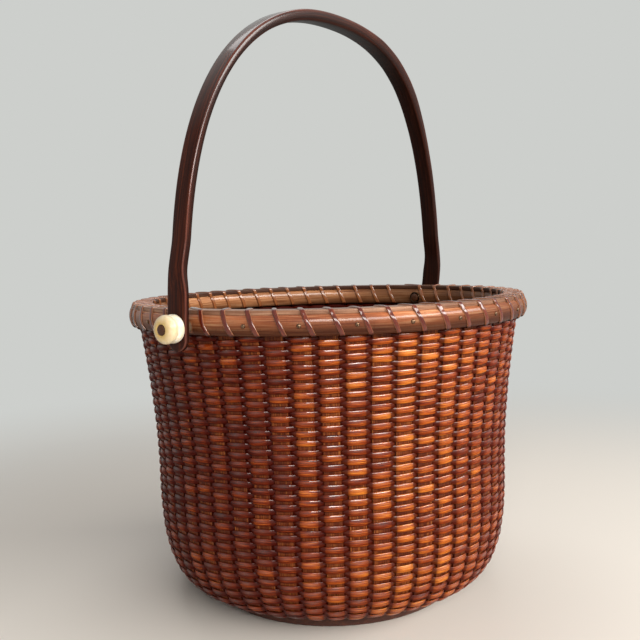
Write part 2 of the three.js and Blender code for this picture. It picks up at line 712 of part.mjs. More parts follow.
function place(parent, name, geometry, material) {
  const mesh = new THREE.Mesh(geometry, material);
  mesh.name = name;
  parent.add(mesh);
}

place(basket, "base_plate", baseShape(), baseWood);
place(basket, "stave_cage", staveCageShape(), staveWood);
place(basket, "outer_weave", weaveShape(1), cane);
place(basket, "inner_weave", weaveShape(-1), cane);
place(basket, "outer_rim_hoop", outerHoopShape(), hoopWood);
place(basket, "inner_rim_hoop", innerHoopShape(), hoopWood);
place(basket, "rim_cap", capShape(), capWood);

const lashing = lashingShape();
place(basket, "rim_lashing", lashing.geometry, lashCane);
console.log(`least gap between two wraps of the lashing: ${leastLashGap(lashing.rings).toFixed(2)} mm`);

for (const [index, turn] of nailTurns().entries()) {
  const number = String(index + 1).padStart(2, "0");
  place(basket, `rim_nail_${number}`, nailShape(turn), brass);
}

for (const [side, turn] of Object.entries(PIN_TURNS)) {
  const underSeat = RIM_RADIUS + CLEARANCE;
  const outerSeat = EAR_OUTSIDE + CLEARANCE;
  const burrSeat = RIM_BORE * FACET_SHARE - CLEARANCE - BURR_THICKNESS;
  place(basket, `${side}_pin`, pinShape(turn), pinWood);
  place(basket, `${side}_under_washer`, discShape(turn, underSeat, underWasher), bone);
  place(basket, `${side}_outer_washer`, discShape(turn, outerSeat, outerWasher), bone);
  place(basket, `${side}_knob`, discShape(turn, KNOB_SEAT, knob), bone);
  place(basket, `${side}_burr`, discShape(turn, burrSeat, burr), brass);
}

const handle = new THREE.Group();
handle.position.z = PIN_HEIGHT;
handle.rotation.x = radians(HANDLE_LEAN);
place(handle, "handle", handleShape(), handleWood);
basket.add(handle);

export default basket;
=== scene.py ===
import math

import bpy
import numpy as np
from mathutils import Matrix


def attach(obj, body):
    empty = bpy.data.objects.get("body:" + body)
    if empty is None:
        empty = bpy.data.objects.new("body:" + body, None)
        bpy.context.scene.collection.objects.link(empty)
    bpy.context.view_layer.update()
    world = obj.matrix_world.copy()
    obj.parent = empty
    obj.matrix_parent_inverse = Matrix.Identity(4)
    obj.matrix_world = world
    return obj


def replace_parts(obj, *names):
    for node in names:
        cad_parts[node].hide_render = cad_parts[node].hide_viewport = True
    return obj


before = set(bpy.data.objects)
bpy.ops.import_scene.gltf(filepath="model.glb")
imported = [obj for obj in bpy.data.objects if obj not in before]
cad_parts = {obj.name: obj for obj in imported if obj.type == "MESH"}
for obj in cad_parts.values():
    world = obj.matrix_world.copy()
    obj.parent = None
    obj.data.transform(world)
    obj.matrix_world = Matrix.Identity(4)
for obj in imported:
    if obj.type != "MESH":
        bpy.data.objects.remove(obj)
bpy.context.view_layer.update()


# Base plate. One round hardwood board, turned on a lathe, with a groove sawn into its edge for the feet
# of the staves and a ring cut into each face. It is stained dark, with painted light round the foot.
# Sizes are in millimetres, but for the studio's in metres. Colours are as a paint chip reads, 0 to 255.
board_radius, board_top, board_edge, board_steps = 64.5, 12.7, 0.8, 192
groove_middle, groove_depth, groove_half = 8.6, 7.0, 0.9
foot_ring, inside_ring, ring_half, ring_depth = 46.0, 40.0, 0.8, 0.7
foot_light_radius, foot_light_height, foot_light_share = 62.57, 5.0, 0.6


def paint(red, green, blue):
    """The shader's own colour for a colour as it is seen."""
    chip = np.array([red, green, blue]) / 255
    chip = np.where(chip <= 0.04045, chip / 12.92, ((chip + 0.055) / 1.055) ** 2.4)
    return (*chip.tolist(), 1.0)


def new_finish(name, roughness, varnish, varnish_roughness=0.12, varnish_index=1.5, shine=0.2):
    """A material with its shader, its own shine, and a coat of varnish from 0, none, to 1."""
    finish = bpy.data.materials.new(name)
    finish.use_nodes = True
    surface = finish.node_tree.nodes["Principled BSDF"]
    surface.inputs["Roughness"].default_value = roughness
    surface.inputs["Specular IOR Level"].default_value = shine
    surface.inputs["Coat Weight"].default_value = varnish
    surface.inputs["Coat Roughness"].default_value = varnish_roughness
    surface.inputs["Coat IOR"].default_value = varnish_index
    return finish, surface


def add(finish, kind, inputs=None, **settings):
    """A shader node. An input that is another node's socket is linked, and any other is set."""
    made = finish.node_tree.nodes.new("ShaderNode" + kind)
    for key, value in settings.items():
        setattr(made, key, value)
    for key, value in (inputs or {}).items():
        if isinstance(value, bpy.types.NodeSocket):
            finish.node_tree.links.new(value, made.inputs[key])
        else:
            made.inputs[key].default_value = value
    return made


def wear(finish, socket, stops):
    """A ramp from one grey or colour to the next, as stops of place and colour."""
    made = add(finish, "ValToRGB", {"Fac": socket})
    elements = made.color_ramp.elements
    while len(elements) < len(stops):
        elements.new(0.5)
    for element, (place, colour) in zip(elements, stops, strict=True):
        element.position = place
        element.color = colour if isinstance(colour, tuple) else (colour, colour, colour, 1)
    return made.outputs["Color"]


def blend_paint(finish, share, first, second):
    """Two colours mixed by a share, which is a number or a socket."""
    made = add(finish, "Mix", data_type="RGBA")
    for place, value in ((0, share), (6, first), (7, second)):
        if isinstance(value, bpy.types.NodeSocket):
            finish.node_tree.links.new(value, made.inputs[place])
        else:
            made.inputs[place].default_value = value
    return made.outputs[2]


def calculate(finish, way, first, second, clamp=False):
    """Two numbers or patterns put together, held between 0 and 1 where clamp is set."""
    inputs = {0: first, 1: second}
    return add(finish, "Math", inputs, operation=way, use_clamp=clamp).outputs[0]


def grain_place(finish, stretch):
    """Where a point lies along, across and through its own strip of wood, stretched by each number."""
    place = add(finish, "Attribute", attribute_name="grain")
    inputs = {0: place.outputs["Vector"], 1: stretch}
    return add(finish, "VectorMath", inputs, operation="MULTIPLY").outputs[0]


def grain_pattern(finish, stretch, detail, roughness=0.5, twist=0.0):
    """A pattern of clouds along the grain, which a strong stretch draws out into streaks."""
    return add(finish, "TexNoise", {
        "Vector": grain_place(finish, stretch), "Scale": 1.0, "Detail": detail, "Roughness": roughness,
        "Distortion": twist}).outputs[0]


def mark_on(finish, mark):
    """One of the marks that make_piece put on a piece's points."""
    return add(finish, "Attribute", attribute_name=mark).outputs["Fac"]


def drive(finish, surface, side, socket):
    """Lets a colour or a pattern drive one input of the surface."""
    finish.node_tree.links.new(socket, surface.inputs[side])


def roughen(finish, surface, low, high, socket):
    """Lets a pattern drive how dull the surface is, from low to high."""
    inputs = {"Value": socket, "To Min": low, "To Max": high}
    drive(finish, surface, "Roughness", add(finish, "MapRange", inputs).outputs[0])


def emboss(finish, surface, depth, socket, varnish_depth=0.02):
    """Lets a pattern stand out by a depth in millimetres, and by less in the varnish over it."""
    for side, rise in (("Normal", depth), ("Coat Normal", varnish_depth)):
        bump = add(finish, "Bump", {"Strength": 1.0, "Distance": rise / 1000, "Height": socket})
        drive(finish, surface, side, bump.outputs[0])


def make_piece(name, points, faces, grain, finish, slot, body="basket", crease=35, **marks):
    """A mesh from points in millimetres, with its grain, its marks, its material and its body."""
    mesh = bpy.data.meshes.new(name)
    mesh.from_pydata((np.asarray(points) / 1000).tolist(), [], [list(face) for face in faces])
    mesh.attributes.new("grain", "FLOAT_VECTOR", "POINT").data.foreach_set(
        "vector", np.asarray(grain, float).ravel())
    for mark, values in marks.items():
        mesh.attributes.new(mark, "FLOAT", "POINT").data.foreach_set(
            "value", np.asarray(values, float).ravel())
    mesh.polygons.foreach_set("use_smooth", [True] * len(mesh.polygons))
    mesh.set_sharp_from_angle(angle=math.radians(crease))
    mesh.materials.append(finish)
    piece = bpy.data.objects.new(name, mesh)
    bpy.context.scene.collection.objects.link(piece)
    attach(piece, body)
    return piece


def turned(section, steps):
    """Points of a shape turned on a lathe, from its section as radius and height."""
    around = np.linspace(0, 2 * math.pi, steps, endpoint=False)[:, None]
    return np.stack([section[:, 0] * np.cos(around), section[:, 0] * np.sin(around),
                     section[:, 1] + 0 * around], -1)


def turned_faces(steps, corners):
    """Four-sided faces between one line of a turned shape and the next, all the way round."""
    line = np.arange(steps)[:, None] * corners
    after = (np.arange(1, steps + 1) % steps)[:, None] * corners
    corner = np.arange(corners - 1)[None, :]
    faces = np.stack([line + corner, after + corner, after + corner + 1, line + corner + 1], -1)
    return faces.reshape(-1, 4).tolist()


def rounded(outline, radius, steps=3):
    """An outline with each corner that has a radius cut back and rounded."""
    outline = np.asarray(outline, float)
    points = []
    for index, corner in enumerate(outline):
        if index in (0, len(outline) - 1) or not radius[index]:
            points.append(corner)
            continue
        before, after = outline[index - 1] - corner, outline[index + 1] - corner
        before /= np.linalg.norm(before)
        after /= np.linalg.norm(after)
        for share in np.linspace(0, 1, steps + 1):
            near, far = (1 - share) ** 2, share ** 2
            points.append(corner + radius[index] * (before * near + after * far))
    return np.array(points)


board_outline = [
    (0.01, 0), (foot_ring - ring_half, 0), (foot_ring, ring_depth), (foot_ring + ring_half, 0),
    (board_radius, 0), (board_radius, groove_middle - groove_half),
    (board_radius - groove_depth, groove_middle - groove_half),
    (board_radius - groove_depth, groove_middle + groove_half),
    (board_radius, groove_middle + groove_half), (board_radius, board_top),
    (inside_ring + ring_half, board_top), (inside_ring, board_top - ring_depth),
    (inside_ring - ring_half, board_top), (0.01, board_top)]
board_rounding = [0, .3, .3, .3, 1.1, .25, 0, 0, .25, board_edge, .3, .3, .3, 0]
board_section = rounded(board_outline, board_rounding)
board_points = turned(board_section, board_steps).reshape(-1, 3)
board_foot_light = (np.hypot(board_points[:, 0], board_points[:, 1]) > foot_light_radius) & (
    board_points[:, 2] < foot_light_height)

board_finish, surface = new_finish("dark_turned_wood", 0.45, 0.35, 0.25)
board_rings = grain_pattern(board_finish, (0.035, 0.5, 0.5), 5.0, 0.6, 0.6)
board_pores = grain_pattern(board_finish, (0.25, 5.0, 5.0), 2.0)
board_colour = wear(board_finish, board_rings, [
    (0.32, paint(52, 25, 16)), (0.5, paint(84, 44, 28)), (0.68, paint(122, 68, 44))])
board_colour = blend_paint(board_finish, wear(board_finish, board_pores, [(0.42, 0.55), (0.5, 0.0)]),
                           board_colour, paint(30, 16, 10))
# Painted light: the bottom of the board's edge is painted lighter, where the weave shades it.
board_colour = blend_paint(board_finish, mark_on(board_finish, "foot"), board_colour, paint(92, 58, 50))
drive(board_finish, surface, "Base Color", board_colour)
roughen(board_finish, surface, 0.38, 0.62, board_pores)
emboss(board_finish, surface, 0.12, board_pores)

base = make_piece("turned_base", board_points, turned_faces(board_steps, len(board_section)), board_points,
                  board_finish, "base_wood", foot=foot_light_share * board_foot_light)
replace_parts(base, "base_plate")


# Staves. Fifty-three flat strips of split hardwood, whose feet sit in the base's groove. Each one bends
# up round the mould, leans out a little towards the mouth and ends between the two rim hoops.
stave_count, stave_thickness, stave_fill, stave_lengths = 53, 1.2, 0.71, 64
belly_radius, mouth_radius, corner_rise, corner_fullness, flare_power = 91.2, 97.9, 62.0, 3.0, 1.7
wall_start, weave_top, rim_top, first_gap = 64.8, 143.2, 153.6, 179.3
stave_pitch = 360 / stave_count


def wall_line():
    """The wall's middle line as radius and height, from inside the groove to the top of the rim."""
    quarter = np.linspace(0, math.pi / 2, 260)[1:]
    power = 2 / corner_fullness
    rise = np.linspace(0, 1, 120)[1:]
    return np.concatenate([
        [(board_radius - groove_depth + 0.3, groove_middle), (wall_start, groove_middle)],
        np.stack([wall_start + (belly_radius - wall_start) * np.sin(quarter) ** power,
                  groove_middle + corner_rise * (1 - np.cos(quarter) ** power)], 1),
        np.stack([belly_radius + (mouth_radius - belly_radius) * rise ** flare_power,
                  groove_middle + corner_rise + (weave_top - groove_middle - corner_rise) * rise], 1),
        [(mouth_radius, rim_top)]])


wall = wall_line()
wall_run = np.concatenate([[0], np.cumsum(np.linalg.norm(np.diff(wall, axis=0), axis=1))])
weave_start_run, weave_end_run = wall_run[1], wall_run[-2]


def on_wall(run):
    """Radius and height of the wall this far along it, and its direction there."""
    here, ahead = ([np.interp(run + step, wall_run, wall[:, axis]) for axis in (0, 1)] for step in (-.4, .4))
    middle = np.stack([np.interp(run, wall_run, wall[:, axis]) for axis in (0, 1)], -1)
    along = np.stack(ahead, -1) - np.stack(here, -1)
    return middle, along / np.linalg.norm(along, axis=-1, keepdims=True)


def outward(up):
    """The wall's direction away from the basket, from its direction up."""
    return np.stack([up[:, 1], -up[:, 0]], 1)


def strip_faces(rings, corners, start=0, capped=True):
    """Faces of a strip that is closed round its section, from its first ring to its last."""
    ring = np.arange(rings - 1)[:, None] * corners
    corner = np.arange(corners)[None, :]
    after = (corner + 1) % corners
    faces = np.stack([ring + corner, ring + after, ring + corners + after, ring + corners + corner], -1)
    faces = (faces.reshape(-1, 4) + start).tolist()
    if capped:
        faces.append([start + corner for corner in reversed(range(corners))])
        faces.append([start + (rings - 1) * corners + corner for corner in range(corners)])
    return faces


def lay_out(piece, rings, corners, folds, strips=1):
    """A map for a long strip: its length in rows, each beside the last, with its section across them."""
    loops = np.empty(len(piece.data.loops), int)
    piece.data.loops.foreach_get("vertex_index", loops)
    starts = np.empty(len(piece.data.polygons), int)
    piece.data.polygons.foreach_get("loop_start", starts)
    totals = np.empty(len(piece.data.polygons), int)
    piece.data.polygons.foreach_get("loop_total", totals)
    face = np.repeat(np.arange(len(totals)), totals)
    strip, place = np.divmod(loops, rings * corners)
    ring, corner = np.divmod(place, corners)
    first_ring = np.minimum.reduceat(ring, starts)[face]
    last_corner = np.maximum.reduceat(corner, starts)[face]
    wraps = (last_corner == corners - 1) & (np.minimum.reduceat(corner, starts)[face] == 0)
    corner = np.where(wraps & (corner == 0), corners, corner)
    length = -(-(rings - 1) // folds)
    row = first_ring // length
    flat = np.stack([(ring - row * length) / length,
                     (strip * folds + row + 0.04 + 0.92 * corner / corners) / (folds * strips)], 1)
    layer = piece.data.uv_layers.new(name="OFBake")
    layer.uv.foreach_set("vector", flat.astype(np.float32).ravel())


stave_stations = np.concatenate([
    [wall_run[0]], np.linspace(weave_start_run, wall_run[-1], stave_lengths)])
stave_middle, stave_up = on_wall(stave_stations)
stave_up[0] = stave_up[1] = (1, 0)
stave_out = outward(stave_up)
stave_half = stave_fill * math.pi * stave_middle[:, 0] / stave_count
stave_corners = [(-1, -.28, -1), (-1, 0, -.55), (-1, 0, .55), (-1, -.28, 1),
                 (1, -.28, 1), (1, 0, .55), (1, 0, -.55), (1, -.28, -1)]
stave_rings, stave_sides = len(stave_stations), len(stave_corners)
stave_points, stave_grain, stave_faces = [], [], []
chance = np.random.default_rng(11)
for number in range(stave_count):
    turn = math.radians(first_gap + (number + 0.5) * stave_pitch + chance.normal(0, 0.12))
    width = 1 + chance.normal(0, 0.02)
    depth = chance.uniform(0, 500)
    rings = []
    for side, setback, out in stave_corners:
        away = stave_middle + stave_out * (out * stave_thickness / 2)
        shift = side * (stave_half * width + setback)
        rings.append(np.stack([
            away[:, 0] * math.cos(turn) - shift * math.sin(turn),
            away[:, 0] * math.sin(turn) + shift * math.cos(turn), away[:, 1]], -1))
        stave_grain.append(np.stack([stave_stations, shift, 0 * shift + depth + out], -1))
    stave_faces += strip_faces(stave_rings, stave_sides, number * stave_rings * stave_sides)
    stave_points.append(np.stack(rings, 1).reshape(-1, 3))
stave_grain = np.reshape(stave_grain, (stave_count, stave_sides, stave_rings, 3)).transpose(0, 2, 1, 3)

stave_finish, surface = new_finish("split_stave_wood", 0.55, 0.1, 0.3, shine=0.1)
stave_fibres = grain_pattern(stave_finish, (0.05, 2.6, 1.0), 4.0, 0.62)
stave_clouds = grain_pattern(stave_finish, (0.03, 0.15, 0.4), 2.0)
stave_colour = wear(stave_finish, stave_fibres, [
    (0.3, paint(62, 18, 5)), (0.5, paint(118, 50, 17)), (0.7, paint(190, 116, 54))])
stave_colour = blend_paint(stave_finish, wear(stave_finish, stave_clouds, [(0.4, 0.7), (0.62, 0.0)]),
                           stave_colour, paint(74, 22, 8))
# Painted shade: the sides of each stave, which face the gaps between staves, are painted nearly black.
stave_colour = blend_paint(stave_finish, mark_on(stave_finish, "edge"), stave_colour, paint(46, 10, 3))
drive(stave_finish, surface, "Base Color", stave_colour)
roughen(stave_finish, surface, 0.4, 0.65, stave_fibres)
emboss(stave_finish, surface, 0.1, stave_fibres)

staves = make_piece("staves", np.concatenate(stave_points), stave_faces, stave_grain, stave_finish,
                    "stave_wood", edge=np.tile([.3, .9, .9, .3], stave_count * stave_rings * 2))
lay_out(staves, stave_rings, stave_sides, 1, stave_count)
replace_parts(staves, "stave_cage")


# Weaver. One long strand of half-round cane, wound outside one stave and inside the next from the base to
# the rim. As the staves are odd in number, each round passes the other way from the last. It is stained red
# under its varnish, with painted shade where it dips between two staves and along its lower edge and back,
# and painted light, lighter and more orange, on the side towards the lamps.
weave_rounds, weaver_depth, steps_per_stave = 64, 1.16, 9
weaver_swing, weaver_firmness, weaver_bands = 1.12, 2.1, 8
weave_foot_gap, weave_rim_gap, foot_loosening, pitch_loosening = 1.5, 0.25, 0.028, 0.088
weaver_fill, weaver_bulge, weaver_grain_width = 1.34, 0.1, 2.3
lit_side_turn, lit_side_half, shiny_half, plain_tone, lit_side_tone = 244.0, 32.0, 68.0, 0.26, 0.33

crossings = (weave_rounds + 1) * stave_count
weaver_step = np.arange(crossings * steps_per_stave + 1) / steps_per_stave
chance = np.random.default_rng(5)


def drift(step, every, size):
    """A slow, even-handed wander along the strand, which changes about once in so many staves."""
    spots = chance.normal(0, size, int(crossings / every) + 4)
    return np.interp(step / every, np.arange(len(spots)), spots)


swing = np.cos(math.pi * weaver_step)
firm = np.tanh(weaver_firmness * swing) / math.tanh(weaver_firmness)
weaver_away = weaver_swing * firm * (0.95 + 0.09 * swing ** 2) * (1 + drift(weaver_step, 1.0, 0.035))
weaver_share = np.minimum(weaver_step / stave_count / weave_rounds, 1)
weave_climb = weave_end_run - weave_start_run - (weave_foot_gap + weave_rim_gap)
weaver_run = weave_start_run + weave_foot_gap + weave_climb * (
    weaver_share + foot_loosening * np.sin(math.pi * weaver_share))
weaver_pitch = weave_climb / weave_rounds * (1 + pitch_loosening * np.cos(math.pi * weaver_share))
weaver_run += drift(weaver_step, 1.1, 0.13) + 0.12 * np.sin(math.pi * weaver_step) * swing
weaver_middle, weaver_up = on_wall(weaver_run)
weaver_out = outward(weaver_up)
weaver_turn = np.radians(first_gap + (weaver_step + 0.5) * stave_pitch)


def round_basket(turn, radius, height):
    """Points round the basket, from their turn, radius and height."""
    return np.stack([radius * np.cos(turn), radius * np.sin(turn), height], -1)


def squared(along, out):
    """Directions across a strip, from its own direction and roughly outwards."""
    along = along / np.linalg.norm(along, axis=-1, keepdims=True)
    out = out - (out * along).sum(-1, keepdims=True) * along
    out = out / np.linalg.norm(out, axis=-1, keepdims=True)
    return np.cross(out, along), out


weaver_line = round_basket(weaver_turn, weaver_middle[:, 0] + weaver_out[:, 0] * weaver_away,
                           weaver_middle[:, 1] + weaver_out[:, 1] * weaver_away)
weaver_side, weaver_face = squared(
    np.gradient(weaver_line, axis=0),
    round_basket(weaver_turn, weaver_out[:, 0], weaver_out[:, 1]))
weaver_section = np.array([
    (-1.0, -0.45), (-0.96, 0.25), (-0.78, 0.75), (-0.4, 0.97), (0.02, 0.99), (0.24, 0.91), (0.74, 0.46),
    (0.92, 0.22), (1.0, -0.3), (0.7, -0.85), (-0.7, -0.85)])
weaver_polish = np.array([0, 0, 0, .05, .25, .95, 1.0, .55, .1, 0, 0])
# Painted shade for each corner of the section: darker along the strand's lower edge and its back.
weaver_grime = [.5, .3, .07, 0, 0, 0, 0, .05, .3, .6, .6]
weaver_width = weaver_pitch * (weaver_fill + weaver_bulge * swing ** 2 + drift(weaver_step, 1.4, 0.05))
weaver_points = (
    weaver_line[:, None]
    + weaver_side[:, None] * (weaver_section[:, 0, None] * weaver_width[:, None, None] / 2)
    + weaver_face[:, None] * (weaver_section[:, 1, None] * weaver_depth / 2))
weaver_length = np.concatenate([[0], np.cumsum(np.linalg.norm(np.diff(weaver_line, axis=0), axis=1))])
weaver_grain = np.stack(np.broadcast_arrays(
    weaver_length[:, None], weaver_section[:, 0] * weaver_grain_width, weaver_section[:, 1]), -1)
weaver_from_lit_side = (np.degrees(weaver_turn) - lit_side_turn + 180) % 360 - 180
weaver_by_stave = chance.normal(0, 0.05, stave_count)[np.round(weaver_step).astype(int) % stave_count]
# Painted light: the tone wanders at random, and is raised on the side towards the lamps, lighter and more
# orange.
weaver_tone = (
    plain_tone + drift(weaver_step, 1.0, 0.075) + drift(weaver_step, 17.0, 0.06) + weaver_by_stave
    + lit_side_tone * np.exp(-(weaver_from_lit_side / lit_side_half) ** 2))
# Painted shade where the strand dips between two staves, and along its lower edge and back.
weaver_dip = np.maximum(np.clip(1 - np.abs(firm), 0, 1)[:, None], weaver_grime)
weaver_shine = (0.22 + 0.78 * swing ** 4) * (
    0.35 + 0.6 * np.exp(-(weaver_from_lit_side / shiny_half) ** 2))

weaver_finish, surface = new_finish("varnished_cane", 0.5, 1.0, 0.085, 1.95, shine=0.05)
weaver_fibres = grain_pattern(weaver_finish, (0.12, 4.5, 1.5), 3.0, 0.6)
weaver_dips = mark_on(weaver_finish, "dip")
weaver_streaks = calculate(weaver_finish, "MULTIPLY",
                           calculate(weaver_finish, "SUBTRACT", weaver_fibres, 0.5), 2.0)
weaver_shade = calculate(weaver_finish, "ADD", mark_on(weaver_finish, "tone"), weaver_streaks)
weaver_colour = wear(weaver_finish, weaver_shade, [
    (0.1, paint(62, 14, 5)), (0.42, paint(116, 38, 11)), (0.66, paint(172, 80, 24)),
    (0.95, paint(220, 136, 48))])
# The painted shade takes the cane to a dark red-brown.
weaver_colour = blend_paint(weaver_finish, wear(weaver_finish, weaver_dips, [(0.02, 0.0), (0.42, 0.9)]),
                            weaver_colour, paint(62, 10, 3))
drive(weaver_finish, surface, "Base Color", weaver_colour)
drive(weaver_finish, surface, "Coat Weight", mark_on(weaver_finish, "polish"))
roughen(weaver_finish, surface, 0.42, 0.62, weaver_fibres)
emboss(weaver_finish, surface, 0.04, weaver_fibres, 0.002)

band_edges = [round(band * (weave_rounds + 1) / weaver_bands) * stave_count * steps_per_stave
              for band in range(weaver_bands + 1)]
band_edges[-1] = len(weaver_step) - 1
corners = len(weaver_section)
for band, (low, high) in enumerate(zip(band_edges, band_edges[1:])):
    part = slice(low, high + 1)
    rings = high + 1 - low
    woven = make_piece(
        f"weaver_{band + 1}", weaver_points[part].reshape(-1, 3),
        strip_faces(rings, corners, capped=band in (0, weaver_bands - 1)),
        weaver_grain[part].reshape(-1, 3), weaver_finish, "woven_cane", crease=180,
        tone=np.repeat(weaver_tone[part], corners), dip=weaver_dip[part],
        polish=weaver_shine[part, None] * weaver_polish)
    lay_out(woven, rings, corners, 4)
    if band == 0:
        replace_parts(woven, "outer_weave", "inner_weave")


# Rim hoops. Two bent hoops of ash that grip the tops of the staves: a thick half-round one outside and a
# flatter one inside, both stained red-brown, varnished, and drilled for the handle's pins.
hoop_bottom, hoop_height, hoop_edge, hoop_steps = 144.4, 9.2, 0.2, 240
outer_seat, outer_depth, outer_flat = 98.8, 5.2, 3.1
inner_seat, inner_depth, inner_flat = 97.0, 4.5, 2.7
pin_height, pin_hole, pin_hole_middle, pin_hole_length = 148.2, 2.5, 100.0, 30.0


def hoop_section(seat, depth, flat, side):
    """Half-round section of a hoop against its seat, outside it for side 1 and inside it for -1."""
    reach = np.concatenate([[0, hoop_edge], flat + (depth - flat) * np.cos(hoop_bow), [hoop_edge, 0]])
    rise = np.concatenate([[hoop_edge - hoop_height / 2, -hoop_height / 2],
                           hoop_height / 2 * np.sin(hoop_bow),
                           [hoop_height / 2, hoop_height / 2 - hoop_edge]])
    return np.stack([seat + side * reach, hoop_middle + side * rise], 1)


def bent_round(name, section, finish, slot, darkening_axis, darkening_from, darkening_to, lit_turn, lit_half,
               unlit_darkening):
    """A strip bent into a full hoop, with its two ends meeting, from its section as radius and height.

    It is painted darker along one of the two, from one value to the other, and, as painted shade, away from
    its lit turn.
    """
    turn = np.linspace(0, 2 * math.pi, hoop_steps + 1)
    points = round_basket(turn[:, None], section[:, 0], section[:, 1] + 0 * turn[:, None])
    run = np.linalg.norm(np.diff(section, axis=0, append=section[:1]), axis=1)
    across = np.concatenate([[0], np.cumsum(run)[:-1]])
    grain = np.stack(np.broadcast_arrays(turn[:, None] * section[0, 0], across, 0 * across), -1)
    darkening = np.clip((section[:, darkening_axis] - darkening_from) / (darkening_to - darkening_from), 0, 1)
    off_clean = (np.degrees(turn)[:, None] - lit_turn + 180) % 360 - 180
    undarkened = (1 - darkening) * (1 - unlit_darkening * (1 - np.exp(-(off_clean / lit_half) ** 4)))
    hoop = make_piece(name, points.reshape(-1, 3), strip_faces(len(turn), len(section), capped=False),
                      grain.reshape(-1, 3), finish, slot, grime=1 - undarkened)
    lay_out(hoop, len(turn), len(section), 4)
    return hoop


def drill_pin_holes(piece):
    """Drills both pin holes straight through a piece of the rim."""
    for side in (-1, 1):
        bpy.ops.mesh.primitive_cylinder_add(
            vertices=24, radius=pin_hole / 1000, depth=pin_hole_length / 1000,
            rotation=(0, math.pi / 2, 0), location=(side * pin_hole_middle / 1000, 0, pin_height / 1000))
        drill = bpy.context.object
        cut = piece.modifiers.new("pin_hole", "BOOLEAN")
        cut.operation, cut.solver, cut.object = "DIFFERENCE", "EXACT", drill
        bpy.context.view_layer.objects.active = piece
        bpy.ops.object.modifier_apply(modifier=cut.name)
        bpy.data.objects.remove(drill)


def hoop_wood(name, dark, middle, light, varnish, darkening):
    """Streaked and flecked wood in three stains, less varnished and painted nearly black by its darkening
    mark.
    """
    finish, surface = new_finish(name, 0.42, varnish, 0.13, shine=0.1)
    streaks = grain_pattern(finish, (0.035, 1.5, 1.0), 5.0, 0.66)
    clouds = grain_pattern(finish, (0.02, 0.12, 1.0), 2.0)
    flecks = grain_pattern(finish, (2.2, 0.22, 1.0), 2.0)
    colour = wear(finish, streaks, [(0.3, dark), (0.5, middle), (0.7, light)])
    colour = blend_paint(finish, wear(finish, clouds, [(0.4, 0.55), (0.6, 0.0)]), colour, dark)
    colour = blend_paint(finish, wear(finish, flecks, [(0.6, 0.0), (0.74, 0.4)]), colour, dark)
    grime = mark_on(finish, "grime")
    # Painted shade: the darkening mark paints the wood nearly black under the hoops and away from their lit
    # turn.
    colour = blend_paint(finish, calculate(finish, "MULTIPLY", grime, darkening), colour, paint(46, 17, 8))
    varnish_share = calculate(finish, "SUBTRACT", 1.08, grime, clamp=True)
    drive(finish, surface, "Base Color", colour)
    drive(finish, surface, "Coat Weight", calculate(finish, "MULTIPLY", varnish_share, varnish))
    roughen(finish, surface, 0.3, 0.55, streaks)
    relief = calculate(finish, "ADD", calculate(finish, "MULTIPLY", streaks, 0.6), flecks)
    emboss(finish, surface, 0.1, relief, 0.006)
    return finish


hoop_middle = hoop_bottom + hoop_height / 2
hoop_bow = np.linspace(-math.pi / 2, math.pi / 2, 17)
outer_finish = hoop_wood(
    "stained_ash_hoop", paint(104, 46, 26), paint(204, 120, 72), paint(236, 182, 136), 0.8, 0.9)
# Painted shade: the hoop is painted darker towards its lower side and away from its lit turn.
outer_hoop = bent_round(
    "outer_hoop", hoop_section(outer_seat, outer_depth, outer_flat, 1), outer_finish, "hoop_wood",
    darkening_axis=1, darkening_from=hoop_middle + 4.2, darkening_to=hoop_middle - 2.2, lit_turn=203, lit_half=50,
    unlit_darkening=0.7)
drill_pin_holes(outer_hoop)
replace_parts(outer_hoop, "outer_rim_hoop")

# Painted light: the inner hoop's stains are paler than the outer hoop's, as a glare of light on it.
inner_finish = hoop_wood(
    "paler_lit_ash_hoop", paint(108, 60, 36), paint(200, 134, 86), paint(232, 180, 134), 0.7, 0.8)
# Painted shade: it is painted darker over its lower half and away from its lit turn.
inner_hoop = bent_round(
    "inner_hoop", hoop_section(inner_seat, inner_depth, inner_flat, -1), inner_finish, "hoop_wood",
    darkening_axis=1, darkening_from=hoop_middle + 1.0, darkening_to=hoop_bottom, lit_turn=66, lit_half=42,
    unlit_darkening=0.72)
drill_pin_holes(inner_hoop)
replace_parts(inner_hoop, "inner_rim_hoop")


# Rim cap. A flat strip of rattan peel laid over the tops of both hoops to hide the ends of the staves. It
# has greyed more than the hoops, and only the lashing holds it.
cap_bottom, cap_thickness, cap_inner, cap_outer = 153.5, 2.1, 93.0, 102.3
cap_middle, cap_top = (cap_inner + cap_outer) / 2, cap_bottom + cap_thickness
cap_section = rounded([
    (cap_middle, cap_bottom), (cap_outer, cap_bottom), (cap_outer, cap_top), (cap_middle, cap_top),
    (cap_inner, cap_top), (cap_inner, cap_bottom), (cap_middle, cap_bottom)],
    [0, .2, .8, 0, .8, .2, 0], 4)[1:]
cap_finish = hoop_wood(
    "greyed_rattan_peel", paint(104, 66, 48), paint(158, 114, 88), paint(200, 158, 128), 0.2, 0.85)
# The cap is painted darker towards its inner edge, and, as painted shade, away from its lit turn.
cap = bent_round(
    "cap_strip", cap_section, cap_finish, "cap_wood", darkening_axis=0, darkening_from=cap_inner + 2.2,
    darkening_to=cap_inner + 0.7, lit_turn=195, lit_half=60, unlit_darkening=0.5)
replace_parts(cap, "rim_cap")


# Lashing. One thin strip of cane, round side out, that binds hoops, stave tops and cap together. It climbs
# the outer hoop on a slant, crosses the cap, drops down the inner hoop and comes back out through the next
# space between two staves. None passes at a pin.
lash_width, lash_depth, lash_lean, lash_start, lash_gap = 2.15, 0.62, 2.7, 70.0, 0.34
lash_past_pin, lash_wander = 3.4, 40


def from_pins(turn):
    """Degrees round the rim from the nearer of the two pins."""
    return min(abs((turn - pin + 180) % 360 - 180) for pin in (0, 180))


